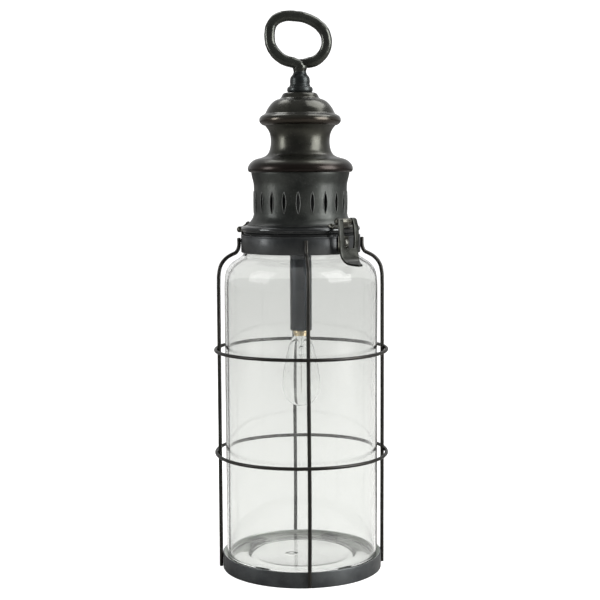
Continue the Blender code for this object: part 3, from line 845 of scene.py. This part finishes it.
def make_battery_holder():
    low, high = (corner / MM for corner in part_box("battery_holder"))
    length, width, height = high - low
    middle = (low.z + high.z) / 2
    slab_low, slab_high = 313.2, 314.4
    pocket = (length - 3.4, width - 3.4)
    holder = block("battery_holder_fine", (length, width, height), (0, 0, middle * MM))
    for place in (slab_high + 10, slab_low - 10):
        cut(holder, block("pocket", (*pocket, 20), (0, 0, place * MM)))
    thumb = rod("thumb_notch", width + 12, 9, 48)
    thumb.matrix_world = Matrix.Translation((0, 0, (high.z + 5.2) * MM)) @ turn(90, "X")
    cut(holder, thumb)
    show(rounded(holder, 0.45, 3), "black", "battery_holder")
    radius, cell_length, pitch = 7.25, 50.5, 15
    centre = slab_high + GAP + radius
    half = cell_length / 2
    outline = [(0, half), (2.3, half), (2.7, half - 0.35), (2.7, half - 0.95), (5.6, half - 1.0),
               (5.9, half - 0.75), (6.5, half - 0.7), (7.0, half - 0.95), (radius, half - 1.5),
               (radius, 12), (radius, 11), (radius, -half + 0.9), (7.0, -half + 0.3),
               (6.6, -half + 0.15), (6.0, -half + 0.2), (5.8, -half), (0, -half)]
    for number, row in enumerate((-1, 0, 1), 1):
        cell = turned(f"battery_cell_{number}_fine", outline)
        cell.matrix_world = (Matrix.Translation((0, row * pitch * MM, centre * MM))
                             @ turn(90 if row else -90, "Y"))
        show(cell, "cell", f"battery_cell_{number}")


def make_switch():
    low, high = (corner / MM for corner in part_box("switch_housing"))
    slot_low, slot_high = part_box("switch_slider")
    size = high - low
    centre = (low + high) / 2
    housing = block("switch_housing_fine", size, centre * MM)
    cut(housing, block("slot", (8.2, 3.8, 6), (0, centre.y * MM, high.z * MM)))
    show(rounded(housing, 0.35, 3), "black", "switch_housing")
    slider_middle = (slot_low + slot_high) / 2
    slider = block("switch_slider_fine", (slot_high - slot_low) / MM, slider_middle)
    for step in (-1, 0, 1):
        cut(slider, block("groove", (0.35, 5, 0.6),
                          slider.location + Vector((step * 0.95, 0, 2.4)) * MM))
    show(rounded(slider, 0.12), "red", "switch_slider")


# -------- hood

def spun(node, look, points, fine, *hand):
    """Spun sheet that stands for one CAD node: a curve through the points, with its hand work."""
    piece = lathe(node, look, shell_of(curve(points, fine), SHEET), HOOD_TURN, by_hand(*hand))
    smooth(piece, 60)


def make_rim():
    """The hood's stepped rim; its rivet holes come later, with the hinge and the hasp."""
    rim = [(46.4, 318.5), (48.0, 318.5), (49.2, 318.3), (50.4, 317.6), (51.2, 317.25),
           *arc((52.0, 315.0), 2.25, 95, -55, 10), (53.0, 312.4), (52.6, 312.0), (52.2, 311.6),
           (51.9, 311.0), (51.7, 310.2), (51.6, 309.0)]
    piece = turned("lid_rim_fine", shell_of(curve(rim, 3), SHEET), HOOD_TURN,
                   by_hand(0.12, 0.04, 3))
    return smooth(piece, 60)


def make_hood():
    make_drum()
    waist = [(30.6, 411.6), (31.9, 410.4), (32.4, 409.0), (31.4, 407.4), (29.6, 405.0),
             (28.2, 402.4), (27.2, 399.0), (26.8, 394), (27.1, 389.6), (28.0, 385.8), (29.6, 382.6),
             (32.2, 380.5), (36.4, 379.0), (40.8, 377.8), (43.5, 376.3), (45.8, 374.2),
             (47.3, 371.8), (47.9, 369.8), (47.8, 368.0), (47.0, 366.6), (46.0, 366.0)]
    dome = [(3.6, 437.4), (9, 437.5), (14.2, 437.4), (15.4, 436.6), (16.6, 434.6), (17.4, 433.1),
            (18.6, 432.2), (20.8, 431.5), (23.6, 430.1), (26.6, 427.3), (29.2, 423.8), (31, 420.4),
            (31.6, 419.2), (32.8, 418.2), (34.6, 417.3), (36.2, 415.9), (37.1, 413.9),
            (37.0, 411.9), (36.0, 410.2), (34.6, 409.0), (33.0, 408.3)]
    spun("hood_waist", "waist", waist, 5, 0.18, 0.035, 5)
    spun("hood_dome", "dome", dome, 5, 0.16, 0.04, 7)
    baffle_reach, baffle_low, baffle_high = extent("vent_baffle")
    sleeve = baffle_reach - 1.5
    baffle = [(baffle_reach - 0.1, baffle_high), (baffle_reach - 0.5, baffle_high - 0.5),
              (sleeve + 0.2, baffle_high - 2), (sleeve, baffle_high - 3.4), (sleeve, 340),
              (sleeve, baffle_low + 0.2)]
    lathe("vent_baffle", "steel", shell_of(baffle, 0.8), HOOD_TURN, by_hand(0.1, 0.04, 9))


def lens(count):
    """Points round a narrow pointed slit, as (across, up) pairs."""
    width, length = VENT_SIZE
    side = [(width / 2 * math.sin(math.pi * i / count) ** 0.8, length * (i / count - 0.5))
            for i in range(count + 1)]
    return side + [(-across, up) for across, up in reversed(side[1:-1])]


def make_drum():
    """The drum, with a row of slits punched through it and a burr round each."""
    outline = [(41.4, 373), (43.0, 371), (44.1, 369), (44.7, 367), (44.8, 365.4), (44.3, 362.6),
               (43.5, 359.4), (42.8, 356.4), (42.5, 352), (42.5, 345), (42.5, 338), (42.5, 332),
               (42.7, 328.6), (43.3, 325.8), (44.4, 323.4), (46.0, 321.2), (47.4, 319.8),
               (48.8, 318.9)]
    drum = turned("hood_drum_fine", shell_of(curve(outline, 4), SHEET), DRUM_TURN,
                  by_hand(0.15, 0.04, 8))
    bm = bmesh.new()
    for number in range(VENTS):
        round_axis = turn(VENT_OFFSET + 360 / VENTS * number, "Z")
        corners = [bm.verts.new(round_axis @ (Vector((x, -46, VENT_MIDDLE + z)) * MM))
                   for x, z in lens(14)]
        face = bm.faces.new(corners)
        wall = bmesh.ops.extrude_face_region(bm, geom=[face])["geom"]
        inward = round_axis.to_3x3() @ Vector((0, 8 * MM, 0))
        bmesh.ops.translate(bm, vec=inward,
                            verts=[part for part in wall if isinstance(part, bmesh.types.BMVert)])
    bmesh.ops.recalc_face_normals(bm, faces=bm.faces)
    cut(drum, object_from("vent_slits", bm))
    show(smooth(drum, 40), "drum", "hood_drum")
    make_vent_lips()


def make_vent_lips():
    """The burr round each punched slit: one lip stands proud and the other is pressed in."""
    drum_reach = 42.5
    for number in range(VENTS):
        azimuth = VENT_OFFSET + 360 / VENTS * number
        points = []
        for x, z in lens(20):
            push = 0.12 + 0.3 * x / VENT_SIZE[0] + 0.06 * noise.noise(Vector((x, z * 0.4, number)))
            reach = -math.sqrt(drum_reach ** 2 - x * x)
            points.append((x * 1.04, reach - push, VENT_MIDDLE + z * 1.01))
        lip = sweep(f"vent_lip_{number + 1:02}", points, lambda share: circle(0.32, 8), closed=True,
                    up=Vector((0, -1, 0)))
        stand(lip, azimuth)
        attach(paint(lip, "drum"), "hood")


# -------- ring handle

def make_ring_handle():
    """A bar forged into an oval ring: one end crosses in front and runs down into the neck."""
    line = [(0.0, 0.0, 449), (0.3, -0.2, 454.6), (0.6, -0.9, 458.4), (-0.8, -1.9, 461.8),
            (-5.0, -2.2, 464.1), (-10.7, -2.1, 465.6), (-16.3, -1.8, 468.2), (-21.8, -1.2, 473.0),
            (-26.0, -0.5, 480.0), (-27.2, 0, 487.6), (-26.3, 0.3, 496.0), (-22.2, 0.5, 502.4),
            (-15.4, 0.5, 505.8), (-6.4, 0.5, 506.2), (3.4, 0.5, 504.9), (14.2, 0.4, 500.1),
            (21.8, 0.4, 492.6), (24.4, 0.6, 484.2), (23.2, 1.0, 476.7), (19.4, 1.6, 470.5),
            (14.6, 2.0, 466.7), (8.8, 2.2, 464.7), (2.6, 2.2, 464.0), (-3.6, 1.7, 464.0)]
    square = 2.3

    def section(share):
        place = share * (len(line) - 1)
        neck = min(1, max(0, (place - 1.5) / 3))
        tail = min(1, max(0, (len(line) - 1 - place) / 2))
        across = 4.5 + 0.55 * neck
        if place > len(line) - 3:
            across = 3.6 + 1.45 * tail
        points = []
        for c, s in circle(1, 40):
            squarish = (abs(c) ** square + abs(s) ** square) ** (-1 / square)
            points.append((across * c * squarish * 0.96, across * s * squarish * 0.92))
        return points

    ring = sweep("ring_handle_fine", curve(line, 12), section)
    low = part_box("ring_handle")[0].z / MM
    stud = [(0, 463.6), (4.0, 463.2), (6.5, 461.9), (6.9, 460.4), (6.2, 458.6), (5.7, 456.8),
            (5.5, 455.4), (3.2, 453.6), (3.2, low), (0, low)]
    join(ring, turned("stud", stud, 48))
    neck_top = 455
    for corner in ring.data.vertices:
        place = corner.co / MM
        if place.z > neck_top:
            mark = noise.noise(place * 0.22) * 0.28 + noise.noise(place * 0.6) * 0.1
            corner.co += corner.normal * mark * MM
    # Heights in metres from here: the upper part comes down by what stands over the CAD box
    foot, top = 0.47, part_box("ring_handle")[1].z
    over = max(corner.co.z for corner in ring.data.vertices) - top
    if over > 0:
        for corner in ring.data.vertices:
            if corner.co.z > foot:
                corner.co.z -= over * (corner.co.z - foot) / (top - foot)
    ring.data.shade_smooth()
    stand(ring, RING_TURN)
    show(ring, "forged", "ring_handle")
    lathe("handle_ferrule", "ferrule",
          curve([(5.7, 456.2), (6.0, 455.2), (6.5, 454.0), (7.4, 452.9), (8.5, 451.4), (9.0, 449.4),
                 (9.1, 447.2), (8.9, 445.4), (9.4, 443.8)], 4)
          + curve([(9.6, 443.1), (11.0, 442.4), (11.6, 440.8), (11.5, 439.2), (10.8, 437.9)], 4)
          + [(3.5, 437.9), (3.5, 455.6)], MIDDLE_TURN, by_hand(0.12, 0.09, 11))
    washer = [(8.8, 436), (9, 435.8), (9, 435), (8.8, 434.8), (3.6, 434.8), (3.5, 434.9),
              (3.5, 435.9), (3.6, 436)]
    lathe("handle_washer", "zinc", washer)
    hexagon("handle_nut", "zinc", 10.2, 3.5)


# -------- hinge, catch and hasp

def riveted(node, sheets, grip, depth, **place):
    """A hand-set rivet through sheets, with a hammered dome head and a flat tail."""
    bore(sheets, RIVET_SHANK + GAP, depth, **place)
    outline = [(0, 1.3), (0.7, 1.25), (1.35, 0.98), (1.9, 0.55), (2.1, GAP), (RIVET_SHANK, GAP),
               (RIVET_SHANK, -grip), (1.7, -grip), (1.6, -grip - 0.45), (0, -grip - 0.5)]
    head = turned(f"{node}_fine", outline, 40)
    dent(head, 0.12, 0.9, place["azimuth"] + place.get("aside", 0))
    stand(head, **place)
    show(smooth(head), "bronze", node)


def bore(targets, radius, length, **place):
    for target in targets:
        cut(target, stand(rod("hole", length, radius), **place))


def pin(node, length, azimuth, axis):
    """A pin on a hinge's axis, with slightly mushroomed ends."""
    half = length / 2
    r = PIN_RADIUS
    end = [(0, half), (r * 0.6, half - 0.05), (r * 0.95, half - 0.35), (r, half - 0.6)]
    piece = turned(f"{node}_fine", end + [(reach, -along) for reach, along in reversed(end)], 40)
    stand(piece, azimuth, *axis, spin=90)
    show(piece, "bronze", node)


def leaf(node, azimuth, path, columns, flat, rolled, end):
    """A strap for a hinge: all its gaps are filled in the flat rows, and a few in the roll."""
    rows = len(path) - 1
    filled = [(0, 1, 2, 3, 4)] * flat + [rolled] * (rows - flat)
    piece = strap(f"{node}_fine", path, columns, filled, LEAF, [end] + [1] * rows)
    return in_world(stand(piece, azimuth))


def make_hinge(collar, rim):
    back = HINGE_PIN[0] - KNUCKLE
    lower = leaf("hinge_leaf_lower", HINGE_AZIMUTH,
                 [(back, 295), (back, 297), (back, 300), (back, 303), (back, 306.5),
                  *arc(HINGE_PIN, KNUCKLE, 180, -80, 22)],
                 [-9, -6, -3.2, 3.2, 6, 9], 4, (0, 1, 3, 4), 0.94)
    upper = leaf("hinge_leaf_upper", HINGE_AZIMUTH,
                 [(48.9, 320), (51.0, 318.6), (53.0, 317.35), (54.8, 316.3),
                  *arc(HINGE_PIN, KNUCKLE, 100, -160, 22)],
                 [-9, -6, -2.9, 2.9, 6, 9], 3, (2,), 0.92)
    pin("hinge_pin", 19.2, HINGE_AZIMUTH, HINGE_PIN)
    for number, aside in enumerate((-6, 6), 1):
        place = {"azimuth": HINGE_AZIMUTH, "aside": aside}
        riveted(f"hinge_rivet_lower_{number}", [lower, collar], 3.9, 8, **place,
                reach=back + LEAF / 2, height=300.5, lean=90)
        riveted(f"hinge_rivet_upper_{number}", [upper, rim], 3.6, 12, **place, **RIM_RIVET)
    show(smooth(lower), "bronze", "hinge_leaf_lower")
    show(smooth(upper), "bronze", "hinge_leaf_upper")


def make_catch(collar):
    reach = extent("top_collar")[0]
    place = {"azimuth": HASP_AZIMUTH, "reach": reach + GAP, "height": 303.6, "lean": 90}
    plate = in_world(stand(block("catch_plate_fine", (13, 14, 1)), HASP_AZIMUTH,
                           reach + GAP + 0.5, 302.6, lean=90))
    bore([plate, collar], 2, 8, **place)
    show(rounded(plate, 0.3, 3), "bronze", "catch_plate")
    button = curve([(0, 5.9), (1.1, 5.8), (2.3, 5.3), (3.2, 4.4), (3.5, 3.4), (3.1, 2.5),
                    (2.3, 2.0)], 3)
    shank = [(2.3, 1.7), (2.6, 1.3), (1.7, 1.3), (1.7, -1.9), (2.4, -1.9), (2.3, -2.4), (0, -2.4)]
    knob = turned("catch_knob_fine", button + shank, 56)
    dent(knob, 0.12, 0.5, 3)
    stand(knob, **place)
    show(smooth(knob), "worn", "catch_knob")


def make_hasp(rim):
    flat = curve([(48.9, 320), (51.0, 318.6), (53.0, 317.5), (54.8, 317.4), (55.7, 318.8)], 3)
    bracket = leaf("hasp_bracket", HASP_AZIMUTH, [*flat, *arc(HASP_PIN, KNUCKLE, 180, -80, 22)],
                   [-13, -9.4, -5.4, 5.4, 9.4, 13], 10, (2,), 0.94)
    for number, aside in enumerate((-9.4, 9.4), 1):
        riveted(f"hasp_rivet_{number}", [bracket, rim], 4.2, 12, azimuth=HASP_AZIMUTH, aside=aside,
                **RIM_RIVET)
    show(smooth(bracket), "bronze", "hasp_bracket")
    pin("hasp_pin", 24, HASP_AZIMUTH, HASP_PIN)
    make_hasp_lever()


def make_hasp_lever():
    """Two forged straps from the curled knuckles meet in a tongue that turns outward."""
    tongue, window = 11.2, 6
    curl = arc(HASP_PIN, KNUCKLE, -100, -350, 22)
    fine = 4
    drop = curve([(60.6, 321.6), (61.4, 318.5), (62.1, 313), (62.5, 307), (62.4, 302.5),
                  (62.3, 299), (62.6, 294.6), (64.2, 289.8), (67.4, 286.4), (71.6, 284.9),
                  (77, 284.3)], fine)
    path = curl + drop[1:]
    straight, window_end = 19, len(curl) + fine * 5 - 1
    columns = [-tongue, -9.4, -7.7, -window, -2, 2, window, 7.7, 9.4, tongue]
    filled = [(0, 1, 2, 6, 7, 8) if row < window_end else tuple(range(9))
              for row in range(len(path) - 1)]
    stretch = len(path) - 1 - window_end
    taper = [1 + 0.07 * max(0, math.sin(math.pi * (row - straight) / (window_end - straight)))
             for row in range(window_end + 1)]
    for step in range(1, stretch + 1):
        share = step / stretch
        taper.append(max(0.2, 1 - 0.1 * share - 0.72 * share ** 2.6))
    lever = strap("hasp_lever_fine", path, columns, filled, 1.9, taper, edge=0.7)
    dent(lever, 0.16, 0.35, 12)
    stand(lever, HASP_AZIMUTH)
    show(smooth(lever), "hasp", "hasp_lever")


# -------- setting

def mirrored(n):
    """1 for a ray that a surface has mirrored, and 0 for one seen straight or through glass."""
    path = n.add("ShaderNodeLightPath")
    share = n.add("ShaderNodeMath", operation="SUBTRACT", use_clamp=True)
    n.link(path.outputs["Is Glossy Ray"], share.inputs[0])
    n.link(path.outputs["Is Transmission Ray"], share.inputs[1])
    return share.outputs["Value"]


def pale_sheet():
    """White paper that keeps a little light of its own and mirrors as a dimmer surface."""
    n = Nodes("studio_paper")
    share = mirrored(n)
    return n.set(Base_Color=n.mix(share, (0.35, 0.35, 0.35), (0.30, 0.29, 0.28)),
                 Roughness=0.9, Specular_IOR_Level=0.1, Emission_Color=(1.0, 1.0, 1.0),
                 Emission_Strength=n.span(share, 0.93, 0.0, 0, 1))


def make_floor():
    bm = bmesh.new()
    bmesh.ops.create_circle(bm, cap_ends=True, segments=96, radius=9)
    floor = object_from("studio_floor", bm)
    floor.data.materials.append(pale_sheet())


def make_camera():
    """The view that was fitted to the cage rings and the base band."""
    camera = bpy.data.cameras.new("camera")
    camera.lens = 81.25
    camera.sensor_width = 36
    holder = new_object("camera", camera)
    tilt = Matrix.Rotation(math.radians(90) - 0.0964, 4, "X")
    holder.matrix_world = (Matrix.Translation((-0.10883, -1.23423, 0.3688))
                           @ turn(CAMERA_AZIMUTH, "Z") @ tilt @ turn(-0.27, "Z"))
    bpy.context.scene.camera = holder


def lit_pieces(name, pieces, state):
    """A collection that keeps a light to some pieces, or off them."""
    group = bpy.data.collections.new(name)
    for piece in pieces:
        group.objects.link(piece)
    for entry in group.collection_objects:
        entry.light_linking.link_state = state
    return group


def soft_box(name, azimuth, reach, height, size, power, group, aim=0.3, through=False):
    """An area light round the object, at an angle from the camera's side.

    It lights only the pieces of a group; with through, the others don't shade them either.
    """
    light = bpy.data.lights.new(name, "AREA")
    light.shape = "RECTANGLE"
    light.size, light.size_y = size
    light.energy = power
    holder = new_object(name, light)
    place = Vector(round_point(azimuth + CAMERA_AZIMUTH, reach, height))
    facing = (place - Vector((0, 0, aim))).to_track_quat("Z", "Y")
    holder.matrix_world = Matrix.Translation(place) @ facing.to_matrix().to_4x4()
    holder.light_linking.receiver_collection = group
    if through:
        holder.light_linking.blocker_collection = group


def make_light(clear):
    """Boxes at the sides and above; clear glass mirrors a box hard, so it has weaker ones."""
    metal = lit_pieces("lit_but_glass", clear, "EXCLUDE")
    glass = lit_pieces("lit_glass", clear, "INCLUDE")
    soft_box("key_right", 66, 1.5, 0.72, (0.9, 1.3), 45, metal, through=True)
    soft_box("fill_left", -74, 1.6, 0.62, (0.5, 0.9), 16, metal, through=True)
    soft_box("overhead_right", 107, 0.68, 1.5, (0.9, 0.9), 15, metal, 0.4, through=True)
    soft_box("overhead_back", 220, 0.69, 1.5, (0.5, 0.5), 4, metal, 0.4, through=True)
    soft_box("jar_right", 62, 1.5, 1.2, (1.3, 1.5), 16, glass)
    soft_box("jar_left", -68, 1.6, 1.2, (1.2, 1.5), 10, glass)


def make_world():
    """White where it is seen, also through glass, and a dim room where it is only mirrored."""
    n = Nodes("studio", "worlds", "Background")
    lit = n.add("ShaderNodeMath", operation="MAXIMUM", use_clamp=True)
    n.link(mirrored(n), lit.inputs[0])
    n.link(n.add("ShaderNodeLightPath").outputs["Is Diffuse Ray"], lit.inputs[1])
    split = n.add("ShaderNodeSeparateXYZ")
    n.link(n.add("ShaderNodeTexCoord").outputs["Generated"], split.inputs["Vector"])
    room = n.span(split.outputs["Y"], 0.2, 0.66, -1, 1)
    bpy.context.scene.world = n.set(Color=n.mix(lit.outputs["Value"], (1.3, 1.3, 1.3), room))
    bpy.context.scene.view_settings.view_transform = "Standard"


LOOKS = make_looks()
make_base()
make_cage()
collar_piece = make_collar()
jar_piece = make_jar()
make_lamp_plate()
bulb_piece = make_lamp()
make_battery_holder()
make_switch()
rim_piece = make_rim()
make_hood()
make_ring_handle()
make_hinge(collar_piece, rim_piece)
make_catch(collar_piece)
make_hasp(rim_piece)
show(smooth(collar_piece, 45), "steel", "top_collar")
show(smooth(rim_piece, 60), "rim", "lid_rim")
make_floor()
make_camera()
make_light([jar_piece, bulb_piece])
make_world()
